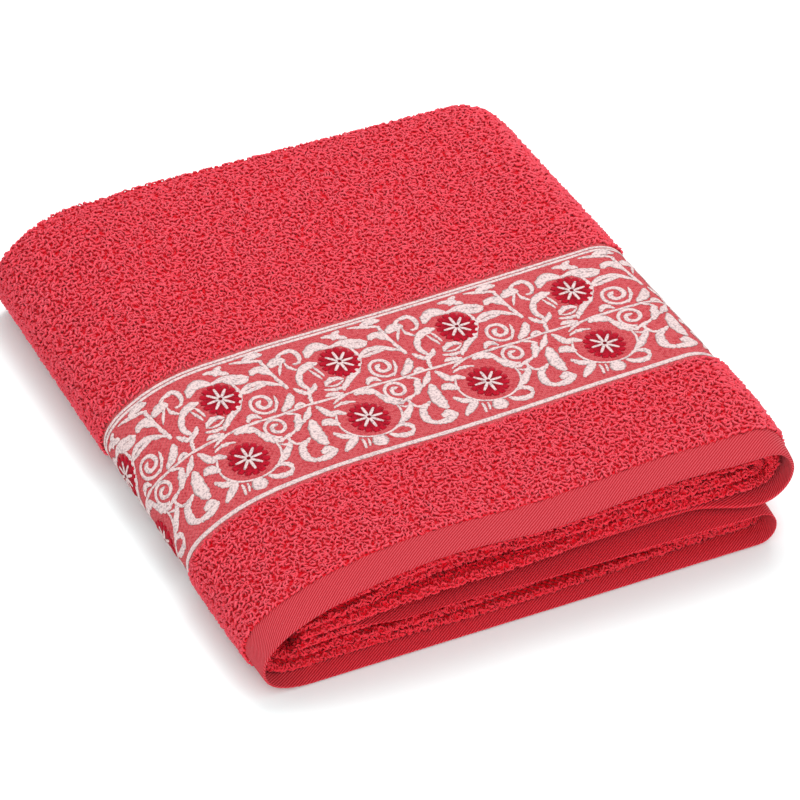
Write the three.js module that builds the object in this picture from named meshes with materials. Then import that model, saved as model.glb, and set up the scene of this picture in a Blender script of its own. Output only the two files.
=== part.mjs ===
// A folded bath towel: one sheet of terry cloth, about 1000 mm wide and 1500 mm long.
// It is first pleated back and forth into five layers along its length, which gives a strip
// about 300 mm deep with one hem at the front of the outermost layer. The strip is then folded
// round from both sides: two flaps lie inside, and the whole wraps over one fold at the left.
// So the solid is one back-and-forth section of the five layers, in depth and thickness, carried
// along a path that runs through the two flaps, the underside, the left fold and the top.
// Millimetres, +X along the front hem, +Y to the back folds, +Z up, origin in the middle of the
// underside.
import * as THREE from 'three';

const LAYERS = 5;                 // layers in the pleated strip
const CLOTH_SHARE = 0.74;         // share of a layer's pitch that is cloth, the rest is air
const STACK_HEIGHT = 50;          // underside to the top of the pile, at the middle
const SPLIT_HEIGHT = 18.6;        // where the lower flap's upper face meets the upper flap
const FLAP_GAP = 0.7;             // air between the two flaps
const FOLD_DEPTH = 309;           // front hem edge to the back folds
const RIGHT_UPPER = 127.5;        // reach of the upper right fold, from the middle of the width
const RIGHT_LOWER = 120;          // reach of the lower right fold
const LEFT_REACH = 122;           // reach of the left fold
const LEFT_NOSE = 16;             // height of that reach: the left fold sags
const LEFT_REST = 98;             // where the left fold lifts off the surface
const LEFT_SLOPE = 40;            // where the top starts to fall towards the left fold
const LOWER_FLAP_END = 101;       // how far left the lower flap reaches
const UPPER_FLAP_END = 100;       // how far left the upper flap reaches
const UPPER_HEM_TURN = 82;         // left of here the upper flap's hem has slipped behind its folds
const LOWER_HEM_TURN = 50;         // further left than this, so has the lower flap's
const HEM_WIDTH = 16;             // flat woven hem along the front edge
const BORDER_FRONT = 73;          // front edge to the near side of the flat woven border
const BORDER_BACK = 171.5;        // front edge to the far side of the border
const PILE_STEP = 0.8;            // the pile stands this much above the hem and the border

const lowerTop = SPLIT_HEIGHT - FLAP_GAP;
const lowerRadius = lowerTop / 2;
const upperRadius = (STACK_HEIGHT - SPLIT_HEIGHT) / 2;

const point = ([x, z]) => new THREE.Vector2(x, z);
const line = (from, to) => new THREE.LineCurve(point(from), point(to));
const bend = (...corners) => new THREE.CubicBezierCurve(...corners.map(point));

// Half turn to the right, from the top of the fold down to its underside.
function rightFold(reach, centreHeight, radius) {
  const quarter = Math.PI / 2;
  return new THREE.EllipseCurve(reach - radius, centreHeight, radius, radius, quarter, -quarter, true);
}

// The path of the outer face, section by section, from the end of the lower flap to the end of
// the upper one, with the cloth always on its right. thick is the depth of the five layers at
// the start and the end of the section. The other columns are places along Y, again at start
// and end: hem is the front edge, ridge1 and ridge2 are the two front folds, and back is the
// outermost back fold. open is how far the outermost layer stands off the next one at the front.
const SECTIONS = [
  { name: 'lower flap, end', steps: 3,
    curve: line([-LOWER_FLAP_END, lowerTop], [-LOWER_HEM_TURN, lowerTop]),
    thick: [6.6, 7.4], hem: [15, 4], ridge1: [9, 9], ridge2: [12, 12], back: [303, 304], open: [0, 0] },
  { name: 'lower flap', steps: 5,
    curve: line([-LOWER_HEM_TURN, lowerTop], [RIGHT_LOWER - lowerRadius, lowerTop]),
    thick: [7.4, 8.5], hem: [4, 0], ridge1: [9, 10], ridge2: [12, 10], back: [304, 306], open: [0, 0.1] },
  { name: 'lower right fold', steps: 7,
    curve: rightFold(RIGHT_LOWER, lowerRadius, lowerRadius),
    thick: [8.5, 8.4], hem: [0, 0], ridge1: [10, 10], ridge2: [10, 12], back: [306, 305], open: [0.1, 0.1] },
  { name: 'underside', steps: 7,
    curve: line([RIGHT_LOWER - lowerRadius, 0], [-LEFT_REST, 0]),
    thick: [8.4, 9.4], hem: [0, 0], ridge1: [10, 8], ridge2: [12, 11], back: [305, 304], open: [0.1, 0.05] },
  { name: 'left fold, lower part', steps: 6,
    curve: bend([-LEFT_REST, 0], [-LEFT_REST - 15, 0], [-LEFT_REACH, 5], [-LEFT_REACH, LEFT_NOSE]),
    thick: [9.4, 12.2], hem: [0, 0], ridge1: [8, 7], ridge2: [11, 12], back: [304, 303], open: [0.05, 0.1] },
  { name: 'left fold, upper part', steps: 12,
    curve: bend([-LEFT_REACH, LEFT_NOSE], [-LEFT_REACH, LEFT_NOSE + 22], [-LEFT_SLOPE - 45, STACK_HEIGHT],
      [-LEFT_SLOPE, STACK_HEIGHT]),
    thick: [12.2, 15.2], hem: [0, 0], ridge1: [7, 9], ridge2: [12, 9], back: [303, 309], open: [0.1, 0.04] },
  { name: 'top', steps: 8,
    curve: line([-LEFT_SLOPE, STACK_HEIGHT], [RIGHT_UPPER - upperRadius, STACK_HEIGHT]),
    thick: [15.2, 14.8], hem: [0, 0], ridge1: [9, 9], ridge2: [9, 10], back: [309, 307], open: [0.04, 0.2] },
  { name: 'upper right fold', steps: 8,
    curve: rightFold(RIGHT_UPPER, STACK_HEIGHT - upperRadius, upperRadius),
    thick: [14.8, 14.6], hem: [0, 3], ridge1: [9, 9], ridge2: [10, 10], back: [307, 305], open: [0.2, 0.12] },
  { name: 'upper flap, start', steps: 3,
    curve: line([RIGHT_UPPER - upperRadius, SPLIT_HEIGHT], [UPPER_HEM_TURN, SPLIT_HEIGHT]),
    thick: [14.6, 14.7], hem: [3, 12], ridge1: [9, 9], ridge2: [10, 11], back: [305, 305], open: [0.12, 0.05] },
  { name: 'upper flap, middle', steps: 4,
    curve: line([UPPER_HEM_TURN, SPLIT_HEIGHT], [-LEFT_SLOPE, SPLIT_HEIGHT]),
    thick: [14.7, 14.9], hem: [12, 13], ridge1: [9, 8], ridge2: [11, 11], back: [305, 304], open: [0.05, 0] },
  { name: 'upper flap, end', steps: 4,
    curve: line([-LEFT_SLOPE, SPLIT_HEIGHT], [-UPPER_FLAP_END, SPLIT_HEIGHT]),
    thick: [14.9, 6.2], hem: [13, 13], ridge1: [8, 8], ridge2: [11, 12], back: [304, 302], open: [0, 0] },
];

const smooth = (u) => u * u * (3 - 2 * u);
const between = ([start, end], u) => start + (end - start) * smooth(u);

// The front folds aren't quite straight: each wanders a little along the path.
const WANDER = { ridge1: { height: 1.2, wave: 31 }, ridge2: { height: 1.4, wave: 23 } };
const wander = ({ height, wave }, along) => height * Math.sin(along / wave);

// Stations along the path: a point of the outer face, the direction inwards, and the section's
// columns blended from its start to its end.
function stations() {
  const list = [];
  let before = 0;
  SECTIONS.forEach((section, number) => {
    const length = section.curve.getLength();
    for (let step = number === 0 ? 0 : 1; step <= section.steps; step += 1) {
      const u = step / section.steps;
      const tangent = section.curve.getTangentAt(u);
      list.push({
        face: section.curve.getPointAt(u),
        inwards: point([tangent.y, -tangent.x]),
        thick: between(section.thick, u),
        hem: between(section.hem, u),
        ridge1: between(section.ridge1, u) + wander(WANDER.ridge1, before + u * length),
        ridge2: between(section.ridge2, u) + wander(WANDER.ridge2, before + u * length),
        back: between(section.back, u),
        open: between(section.open, u),
      });
    }
    before += length;
  });
  return list;
}

const pitch = 1 / (LAYERS - 1 + CLOTH_SHARE);      // of the strip's depth
const cloth = pitch * CLOTH_SHARE;

// Depth share 0 is the outer face and 1 the innermost. Where the outermost layer stands off, the
// layers below it are pressed together to make room; this fades towards the back.
function openedDepth(share, open, y) {
  const room = open * (1 - y / FOLD_DEPTH);
  if (share <= cloth) return share;
  if (share < pitch) return share + (room * (share - cloth)) / (pitch - cloth);
  return share + (room * (1 - share)) / (1 - pitch);
}

// Half turn of the section at a fold, in Y and depth share. side is -1 at the front and 1 at
// the back; reach is how far it bulges along Y.
function sectionTurn(y, fromShare, toShare, side, reach, steps) {
  const points = [];
  for (let step = 0; step <= steps; step += 1) {
    const angle = (Math.PI * step) / steps;
    points.push([
      y + side * reach * Math.sin(angle),
      (fromShare + toShare) / 2 + ((fromShare - toShare) / 2) * Math.cos(angle),
    ]);
  }
  return points;
}

const FOLD_STEPS = 4;
const GAP_STEPS = 2;
const END_STEPS = 2;
const RUN_SHARES = [0.06, 0.32, 0.9, 0.965];       // where a hidden face has its points, along Y
const BACK_SETBACK = { fold: 4, end: 12 };         // inner back fold and the cloth's other end

// The back-and-forth section at one station, as a closed outline of [y, depth share].
function sectionOutline({ thick, hem, ridge1, ridge2, back }) {
  const turnReach = ((pitch + cloth) / 2) * thick;
  const gapReach = ((pitch - cloth) / 2) * thick;
  const endReach = (cloth / 2) * thick;
  const front1 = ridge1 + turnReach;
  const front2 = ridge2 + turnReach;
  const back1 = back - turnReach;
  const back2 = back1 - BACK_SETBACK.fold;
  const fronts = [hem + endReach, front1, front1, front2, front2];
  const backs = [back1, back1, back2, back2, back - BACK_SETBACK.end];
  const upper = (layer) => layer * pitch;
  const lower = (layer) => layer * pitch + cloth;
  const run = (layer, share, towardsBack) => {
    const shares = towardsBack ? RUN_SHARES : [...RUN_SHARES].reverse();
    return shares.map((along) => [fronts[layer] + along * (backs[layer] - fronts[layer]), share]);
  };
  const step = PILE_STEP / thick;
  const outerFace = [
    [hem + HEM_WIDTH - 1, step],
    [hem + HEM_WIDTH + 0.6, 0],
    [(HEM_WIDTH + BORDER_FRONT) / 2, 0],
    [BORDER_FRONT - 1.2, 0],
    [BORDER_FRONT + 0.6, step],
    [(BORDER_FRONT + BORDER_BACK) / 2, step],
    [BORDER_BACK - 0.6, step],
    [BORDER_BACK + 1.2, 0],
    [BORDER_BACK + 0.35 * (back - BORDER_BACK), 0],
    [BORDER_BACK + 0.68 * (back - BORDER_BACK), 0],
    [back - 14, 0],
  ];
  return [
    ...outerFace,
    ...sectionTurn(backs[0], upper(0), lower(1), 1, turnReach, FOLD_STEPS),
    ...run(1, lower(1), false),
    ...sectionTurn(fronts[1], lower(1), upper(2), -1, gapReach, GAP_STEPS),
    ...run(2, upper(2), true),
    ...sectionTurn(backs[2], upper(2), lower(3), 1, turnReach, FOLD_STEPS),
    ...run(3, lower(3), false),
    ...sectionTurn(fronts[3], lower(3), upper(4), -1, gapReach, GAP_STEPS),
    ...run(4, upper(4), true),
    ...sectionTurn(backs[4], upper(4), lower(4), 1, endReach, END_STEPS),
    ...run(4, lower(4), false),
    ...sectionTurn(fronts[3], lower(4), upper(3), -1, turnReach, FOLD_STEPS),
    ...run(3, upper(3), true),
    ...sectionTurn(backs[2], upper(3), lower(2), 1, gapReach, GAP_STEPS),
    ...run(2, lower(2), false),
    ...sectionTurn(fronts[1], lower(2), upper(1), -1, turnReach, FOLD_STEPS),
    ...run(1, upper(1), true),
    ...sectionTurn(backs[0], upper(1), lower(0), 1, gapReach, GAP_STEPS),
    ...run(0, lower(0), false),
    ...sectionTurn(fronts[0], lower(0), step, -1, endReach, END_STEPS),
  ];
}

// How the whole stack settles. CORNER_HEIGHTS are shares of the stack's height at its four
// corners, and the middle is a little lower. Heights scale, so the underside stays flat.
const CORNER_HEIGHTS = { frontLeft: 0.89, frontRight: 1.06, backLeft: 0.95, backRight: 0.95 };
const MIDDLE_SINK = 0.04;
const BACK_SINK = { share: 0.08, reach: 30 };      // the back edge of the top is rounded over
const FRONT_SINK = { share: 0.02, reach: 12 };     // and so, a little, is the hem
// The hem bows out behind the front edge, where it holds the folds in, and the plan's back
// corners are rounded.
const SIDE_BOW = { left: 1.5, right: 6.5, reach: 25, startsLeft: 0.84, startsRight: 0.75 };
const BACK_CORNER = { pull: 7, reach: 24 };
// Towards the back the left fold stands rounder than at the front: its upper part leans out and
// its lower part draws in, by a share of the height over or under a middle height.
const LEFT_LEAN = { share: 0.18, height: 22 };
// There its shoulder stands fuller too, at a place given as a share of the half width.
const LEFT_SHOULDER = { share: 0.09, place: 0.8, reach: 0.3 };
const halfWidth = (RIGHT_UPPER + LEFT_REACH) / 2;
const middle = (RIGHT_UPPER - LEFT_REACH) / 2;
// The front edge of the top waves: how far it rises or sinks at places along X.
const FRONT_WAVE = [
  { x: -110, rise: 0 },
  { x: -38, rise: 2.2 },
  { x: 15, rise: -2 },
  { x: 68, rise: 1 },
  { x: 112, rise: -1.4 },
];
const FRONT_WAVE_REACH = 45;

const clamp = (value) => Math.min(1, Math.max(0, value));

function frontWave(x) {
  const next = FRONT_WAVE.findIndex((row) => row.x > x);
  if (next === 0) return FRONT_WAVE[0].rise;
  if (next < 0) return FRONT_WAVE[FRONT_WAVE.length - 1].rise;
  const [start, end] = [FRONT_WAVE[next - 1], FRONT_WAVE[next]];
  return between([start.rise, end.rise], (x - start.x) / (end.x - start.x));
}

function settle(x, y, z) {
  const across = clamp((x - middle) / (2 * halfWidth) + 0.5);
  const along = clamp(y / FOLD_DEPTH);
  const front = CORNER_HEIGHTS.frontLeft * (1 - across) + CORNER_HEIGHTS.frontRight * across;
  const back = CORNER_HEIGHTS.backLeft * (1 - across) + CORNER_HEIGHTS.backRight * across;
  const hollow = MIDDLE_SINK * 16 * across * (1 - across) * along * (1 - along);
  const backSink = BACK_SINK.share * clamp(1 - (FOLD_DEPTH - y) / BACK_SINK.reach) ** 2;
  const frontSink = FRONT_SINK.share * Math.exp(-y / FRONT_SINK.reach);
  const wave = (frontWave(x) / STACK_HEIGHT) * Math.exp(-y / FRONT_WAVE_REACH);
  const side = (x - middle) / halfWidth;
  const nearShoulder = Math.max(0, 1 - ((side + LEFT_SHOULDER.place) / LEFT_SHOULDER.reach) ** 2);
  const shoulder = LEFT_SHOULDER.share * nearShoulder ** 2 * along;
  const height = front * (1 - along) + back * along + shoulder - hollow - backSink - frontSink + wave;
  const starts = side < 0 ? SIDE_BOW.startsLeft : SIDE_BOW.startsRight;
  const nearSide = Math.max(0, (Math.abs(side) - starts) / (1 - starts));
  const bow = (side < 0 ? -SIDE_BOW.left : SIDE_BOW.right) * nearSide ** 2;
  const lean = side < 0 ? LEFT_LEAN.share * (LEFT_LEAN.height - z) * nearSide ** 2 * along : 0;
  const atSide = clamp((Math.abs(side) - 1) * (halfWidth / BACK_CORNER.reach) + 1) ** 2;
  const atBack = clamp(1 - (FOLD_DEPTH - y) / BACK_CORNER.reach) ** 2;
  return [
    x + bow * (1 - Math.exp(-Math.max(0, y) / SIDE_BOW.reach)) + lean,
    y - BACK_CORNER.pull * atSide * atBack,
    z * height,
  ];
}

function towelGeometry() {
  const path = stations();
  const outlines = path.map(sectionOutline);
  const around = outlines[0].length;
  const positions = [];
  path.forEach((station, i) => {
    outlines[i].forEach(([y, share]) => {
      const depth = openedDepth(share, station.open, y) * station.thick;
      positions.push(...settle(
        station.face.x + station.inwards.x * depth,
        y,
        station.face.y + station.inwards.y * depth,
      ));
    });
  });
  const faces = [];
  for (let i = 0; i < path.length - 1; i += 1) {
    for (let j = 0; j < around; j += 1) {
      const a = i * around + j;
      const b = i * around + ((j + 1) % around);
      faces.push(a, a + around, b, b, a + around, b + around);
    }
  }
  [0, path.length - 1].forEach((i) => {
    const outline = outlines[i].map(([y, share]) => point([y, share * path[i].thick]));
    THREE.ShapeUtils.triangulateShape(outline, []).forEach(([a, b, c]) => {
      const corners = i === 0 ? [a, b, c] : [a, c, b];
      faces.push(...corners.map((corner) => i * around + corner));
    });
  });
  const geometry = new THREE.BufferGeometry();
  geometry.setAttribute('position', new THREE.Float32BufferAttribute(positions, 3));
  geometry.setIndex(faces);
  geometry.computeBoundingBox();
  const { min, max } = geometry.boundingBox;
  geometry.translate(-(min.x + max.x) / 2, -(min.y + max.y) / 2, -min.z);
  geometry.computeVertexNormals();
  return geometry;
}

const group = new THREE.Group();
const towel = new THREE.Mesh(
  towelGeometry(),
  new THREE.MeshStandardMaterial({ color: 0xc8323f, roughness: 0.95, metalness: 0 }),
);
towel.name = 'towel';
group.add(towel);

export default group;
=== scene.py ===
# %% [markdown]
# # A folded terry bath towel
# This lesson dresses a solid model of a folded towel. The solid already has the right folds and
# sizes, so it is loaded as a fixed frame. What Blender adds is the cloth itself: a thin ground
# sheet on the same folds, thousands of small yarn loops standing on it, a flat woven border with
# leaves and rosettes, and a twill hem. Sizes below are in millimetres unless a name says metres.

# %% Load the frame and keep its box
import math

import bpy
import numpy as np
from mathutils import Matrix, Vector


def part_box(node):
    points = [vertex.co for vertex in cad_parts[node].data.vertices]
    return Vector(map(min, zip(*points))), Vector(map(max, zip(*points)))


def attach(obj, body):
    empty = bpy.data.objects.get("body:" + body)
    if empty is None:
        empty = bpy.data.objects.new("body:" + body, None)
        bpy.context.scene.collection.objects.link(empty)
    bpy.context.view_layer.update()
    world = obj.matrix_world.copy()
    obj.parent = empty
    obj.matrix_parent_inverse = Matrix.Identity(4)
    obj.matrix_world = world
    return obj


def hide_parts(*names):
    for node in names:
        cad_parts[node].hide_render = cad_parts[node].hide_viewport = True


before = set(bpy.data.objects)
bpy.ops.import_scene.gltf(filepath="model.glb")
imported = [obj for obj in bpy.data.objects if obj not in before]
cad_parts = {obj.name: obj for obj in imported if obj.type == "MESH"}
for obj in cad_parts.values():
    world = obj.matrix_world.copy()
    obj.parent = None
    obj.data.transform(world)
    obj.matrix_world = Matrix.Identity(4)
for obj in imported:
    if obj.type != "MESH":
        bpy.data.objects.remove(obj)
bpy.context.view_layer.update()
towel_low, towel_high = (np.array(corner) * 1000 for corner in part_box("towel"))
print("solid box in mm:", towel_low.round(1), towel_high.round(1))

# %% [markdown]
# ## The fold as a path
# The towel is a strip of five layers that is folded round from both sides and once over. Its
# section along Y is the same everywhere, so the whole towel is that section carried along one
# path: lower flap, lower right fold, underside, left fold, top, upper right fold, upper flap.
# A path could be drawn as a Blender curve, but then nothing else could be placed on the folds.
# Here it is a table of numbers: position and inward direction of the outer face for any length
# along the path, so that cloth, loops and border all use the same function.

# %% Sizes of the folded stack
LAYERS = 5
CLOTH_SHARE = 0.74
STACK_HEIGHT = 50.0
SPLIT_HEIGHT = 18.6
FLAP_GAP = 0.7
FOLD_DEPTH = 309.0
RIGHT_UPPER, RIGHT_LOWER = 127.5, 120.0
LEFT_REACH, LEFT_NOSE, LEFT_REST, LEFT_SLOPE = 122.0, 16.0, 98.0, 40.0
LOWER_FLAP_END, UPPER_FLAP_END = 101.0, 100.0
UPPER_HEM_TURN, LOWER_HEM_TURN = 82.0, 50.0
HEM_WIDTH = 16.0
BORDER_FRONT, BORDER_BACK = 73.0, 171.5

lower_top = SPLIT_HEIGHT - FLAP_GAP
lower_radius = lower_top / 2
upper_radius = (STACK_HEIGHT - SPLIT_HEIGHT) / 2
share = np.linspace(0, 1, 257)[:, None]
print("fold radii:", lower_radius, upper_radius)


# %% Three kinds of curve for the path
def line(start, end):
    """Straight line: start plus a share of the way to end."""
    return np.array(start) + share * (np.array(end) - np.array(start))


def bend(p0, p1, p2, p3):
    """Cubic Bezier: the four corners weighted by the Bernstein polynomials of the share."""
    p0, p1, p2, p3 = map(np.array, (p0, p1, p2, p3))
    left = 1 - share
    return left**3 * p0 + 3 * left**2 * share * p1 + 3 * left * share**2 * p2 + share**3 * p3


def right_fold(reach, centre, radius):
    """Half circle: centre plus radius times (sine, cosine) of an angle from 0 to a half turn."""
    angle = np.pi * share
    return np.hstack([reach - radius + radius * np.sin(angle), centre + radius * np.cos(angle)])


# %% The path, one row for each section
# thick is the depth of the five layers; hem, ridge1, ridge2 and back are places along Y; open is
# how far the outermost layer stands off the next. Each pair is a value at the start and the end.
COLUMNS = ("thick", "hem", "ridge1", "ridge2", "back", "open")
SECTIONS = [
    (line((-LOWER_FLAP_END, lower_top), (-LOWER_HEM_TURN, lower_top)),
     (6.6, 7.4), (15, 4), (9, 9), (12, 12), (303, 304), (0, 0)),
    (line((-LOWER_HEM_TURN, lower_top), (RIGHT_LOWER - lower_radius, lower_top)),
     (7.4, 8.5), (4, 0), (9, 10), (12, 10), (304, 306), (0, 0.1)),
    (right_fold(RIGHT_LOWER, lower_radius, lower_radius),
     (8.5, 8.4), (0, 0), (10, 10), (10, 12), (306, 305), (0.1, 0.1)),
    (line((RIGHT_LOWER - lower_radius, 0), (-LEFT_REST, 0)),
     (8.4, 9.4), (0, 0), (10, 8), (12, 11), (305, 304), (0.1, 0.05)),
    (bend((-LEFT_REST, 0), (-LEFT_REST - 15, 0), (-LEFT_REACH, 5), (-LEFT_REACH, LEFT_NOSE)),
     (9.4, 12.2), (0, 0), (8, 7), (11, 12), (304, 303), (0.05, 0.1)),
    (bend((-LEFT_REACH, LEFT_NOSE), (-LEFT_REACH, LEFT_NOSE + 22), (-LEFT_SLOPE - 45, STACK_HEIGHT),
          (-LEFT_SLOPE, STACK_HEIGHT)),
     (12.2, 15.2), (0, 0), (7, 9), (12, 9), (303, 309), (0.1, 0.04)),
    (line((-LEFT_SLOPE, STACK_HEIGHT), (RIGHT_UPPER - upper_radius, STACK_HEIGHT)),
     (15.2, 14.8), (0, 0), (9, 9), (9, 10), (309, 307), (0.04, 0.2)),
    (right_fold(RIGHT_UPPER, STACK_HEIGHT - upper_radius, upper_radius),
     (14.8, 14.6), (0, 3), (9, 9), (10, 10), (307, 305), (0.2, 0.12)),
    (line((RIGHT_UPPER - upper_radius, SPLIT_HEIGHT), (UPPER_HEM_TURN, SPLIT_HEIGHT)),
     (14.6, 14.7), (3, 12), (9, 9), (10, 11), (305, 305), (0.12, 0.05)),
    (line((UPPER_HEM_TURN, SPLIT_HEIGHT), (-LEFT_SLOPE, SPLIT_HEIGHT)),
     (14.7, 14.9), (12, 13), (9, 8), (11, 11), (305, 304), (0.05, 0)),
    (line((-LEFT_SLOPE, SPLIT_HEIGHT), (-UPPER_FLAP_END, SPLIT_HEIGHT)),
     (14.9, 6.2), (13, 13), (8, 8), (11, 12), (304, 302), (0, 0)),
]
WANDER = {"ridge1": (1.2, 31.0), "ridge2": (1.4, 23.0)}


def eased(u):
    """Smooth step: three u squared minus two u cubed."""
    return u * u * (3 - 2 * u)


def path_table():
    """Joins the sections into one table; length along the path is the sum of the chord lengths."""
    table = {name: [] for name in ("along", "x", "z", *COLUMNS)}
    starts, before = [], 0.0
    for points, *pairs in SECTIONS:
        chords = np.hypot(*np.diff(points, axis=0).T)
        along = np.concatenate([[0], np.cumsum(chords)])
        starts.append(before)
        table["along"].append(before + along)
        table["x"].append(points[:, 0])
        table["z"].append(points[:, 1])
        for name, (first, last) in zip(COLUMNS, pairs):
            blend = first + (last - first) * eased(along / along[-1])
            if name in WANDER:
                height, wave = WANDER[name]
                blend = blend + height * np.sin((before + along) / wave)
            table[name].append(blend)
        before += along[-1]
    joined = {name: np.concatenate([part[:-1] for part in parts]) for name, parts in table.items()}
    return joined, starts + [before]


path, section_starts = path_table()
tangent = np.stack([np.gradient(path["x"], path["along"]), np.gradient(path["z"], path["along"])])
tangent /= np.hypot(*tangent)
path["in_x"], path["in_z"] = tangent[1], -tangent[0]
(_, LOWER_FLAP, LOWER_FOLD, UNDERSIDE, LEFT_LOWER, LEFT_UPPER, TOP, UPPER_FOLD, UPPER_FLAP, _,
 FLAP_TIP, PATH_END) = section_starts

# %% A short straight run past both ends of the path, for loops that lean out over them
OVERRUN = 5.0
past_ends = {"along": (-OVERRUN, OVERRUN), "x": (-OVERRUN, -OVERRUN)}
for name, values in path.items():
    before, after = past_ends.get(name, (0.0, 0.0))
    path[name] = np.concatenate([[values[0] + before], values, [values[-1] + after]])
print("path length:", round(PATH_END), "mm; top starts at", round(TOP))

# %% [markdown]
# ## From flat cloth to folded place
# A point of the towel is named by three numbers: how far it is along the path, where it is along
# Y, and how deep it is below the outer face. One function turns them into a place in space, and
# a second lets the stack settle: corners of different height, a top edge that waves a little,
# sides that bow out behind the hem, and rounded back corners. Heights only scale, so the
# underside stays flat on the floor. A lattice modifier could settle it too, but a function can
# be used for every piece alike.

# %% Settling, as on the real stack
CORNER_HEIGHTS = {"front_left": 0.89, "front_right": 1.06, "back_left": 0.95, "back_right": 0.95}
MIDDLE_SINK = 0.04
BACK_SINK, BACK_SINK_REACH = 0.08, 30.0
FRONT_SINK, FRONT_SINK_REACH = 0.02, 12.0
BOW_LEFT, BOW_RIGHT, BOW_REACH = 1.5, 6.5, 25.0
BOW_STARTS_LEFT, BOW_STARTS_RIGHT = 0.84, 0.75
LEAN_SHARE, LEAN_HEIGHT = 0.18, 22.0
SHOULDER_SHARE, SHOULDER_PLACE, SHOULDER_REACH = 0.09, 0.8, 0.3
CORNER_PULL, CORNER_REACH = 7.0, 24.0
FRONT_WAVE_X = np.array([-110.0, -38.0, 15.0, 68.0, 112.0])
FRONT_WAVE_RISE = np.array([0.0, 2.2, -2.0, 1.0, -1.4])
FRONT_WAVE_REACH = 45.0
half_width = (RIGHT_UPPER + LEFT_REACH) / 2
middle = (RIGHT_UPPER - LEFT_REACH) / 2
print("half width of the stack in mm:", half_width, "and its middle:", middle)


def front_wave(x):
    """Rise of the front edge at x: rows of the wave joined by smooth steps."""
    row = np.clip(np.searchsorted(FRONT_WAVE_X, x, side="right"), 1, len(FRONT_WAVE_X) - 1)
    span = FRONT_WAVE_X[row] - FRONT_WAVE_X[row - 1]
    u = eased(np.clip((x - FRONT_WAVE_X[row - 1]) / span, 0, 1))
    return FRONT_WAVE_RISE[row - 1] * (1 - u) + FRONT_WAVE_RISE[row] * u


def settle(x, y, z):
    """Scales z by a height blended from the corners, and moves x and y near sides and corners."""
    across = np.clip((x - middle) / (2 * half_width) + 0.5, 0, 1)
    along = np.clip(y / FOLD_DEPTH, 0, 1)
    front = CORNER_HEIGHTS["front_left"] * (1 - across) + CORNER_HEIGHTS["front_right"] * across
    back = CORNER_HEIGHTS["back_left"] * (1 - across) + CORNER_HEIGHTS["back_right"] * across
    height = front * (1 - along) + back * along
    middle_bump = 16 * across * (1 - across) * along * (1 - along)  # 1 in the middle, 0 at the rim
    height -= MIDDLE_SINK * middle_bump
    height -= BACK_SINK * np.clip(1 - (FOLD_DEPTH - y) / BACK_SINK_REACH, 0, 1) ** 2
    height -= FRONT_SINK * np.exp(-y / FRONT_SINK_REACH)
    height += front_wave(x) / STACK_HEIGHT * np.exp(-y / FRONT_WAVE_REACH)
    side = (x - middle) / half_width
    shoulder = np.clip(1 - ((side + SHOULDER_PLACE) / SHOULDER_REACH) ** 2, 0, None) ** 2
    height += SHOULDER_SHARE * shoulder * along
    starts = np.where(side < 0, BOW_STARTS_LEFT, BOW_STARTS_RIGHT)
    near_side = np.clip((np.abs(side) - starts) / (1 - starts), 0, None)
    bow = np.where(side < 0, -BOW_LEFT, BOW_RIGHT) * near_side**2
    at_side = np.clip((np.abs(side) - 1) * (half_width / CORNER_REACH) + 1, 0, 1) ** 2
    at_back = np.clip(1 - (FOLD_DEPTH - y) / CORNER_REACH, 0, 1) ** 2
    lean = np.where(side < 0, LEAN_SHARE * (LEAN_HEIGHT - z) * near_side**2 * along, 0)
    x = x + bow * (1 - np.exp(-np.clip(y, 0, None) / BOW_REACH)) + lean
    return np.stack([x, y - CORNER_PULL * at_side * at_back, z * height], axis=-1)


# %% Depth shares of the five layers, and the place of any point
pitch = 1 / (LAYERS - 1 + CLOTH_SHARE)
cloth = pitch * CLOTH_SHARE


def on_path(name, along):
    return np.interp(along, path["along"], path[name])


def opened(depth, along, y):
    """Depth after the outermost layer stands off: the layers below it are pressed together."""
    thick = on_path("thick", along)
    part = depth / thick
    room = on_path("open", along) * (1 - y / FOLD_DEPTH)
    in_gap = part + room * (part - cloth) / (pitch - cloth)
    below = part + room * (1 - part) / (1 - pitch)
    return thick * np.where(part <= cloth, part, np.where(part < pitch, in_gap, below))


PRESSED_UNDER = 0.6


def place(along, y, depth):
    """Outer face at that length, plus the inward direction times the depth, then settled.

    Pile lower than PRESSED_UNDER is flattened by the weight on it: below that height z falls off
    as an exponential, which comes near the floor and never passes it.
    """
    depth = opened(depth, along, y)
    x = on_path("x", along) + on_path("in_x", along) * depth
    z = on_path("z", along) + on_path("in_z", along) * depth
    placed = settle(x, y, z)
    placed[..., 2] = np.maximum(placed[..., 2],
                                PRESSED_UNDER * np.exp(np.minimum(placed[..., 2] / PRESSED_UNDER - 1, 0)))
    return placed


probe_along, probe_y = np.meshgrid(np.linspace(0, PATH_END, 900), np.linspace(0, FOLD_DEPTH, 60))
probe_y = np.minimum(probe_y, on_path("back", probe_along))
probe = place(probe_along, probe_y, np.zeros_like(probe_y)).reshape(-1, 3)
origin = (probe.min(axis=0) + probe.max(axis=0)) / 2 - (towel_low + towel_high) / 2
origin[2] = 0.0
print("origin of the frame in path sizes:", origin.round(2))

# %% [markdown]
# ## Meshes from whole arrays
# Everything that is added below is a bundle of closed strips: rings of points that follow each
# other. A yarn loop is five rings of three points, a leaf of the border is a few flat rings, and
# the ground cloth is one long strip with the whole back-and-forth section as its ring. So one
# function is enough. It numbers the corners by arithmetic instead of a loop over points, and it
# gives each strip its own cell of a UV map, so that colours can be baked for other programs. A
# face must look outwards, and on a fold it is easy to get that wrong, so the function measures
# the volume that the faces enclose, and turns them over if it comes out negative.


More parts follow.
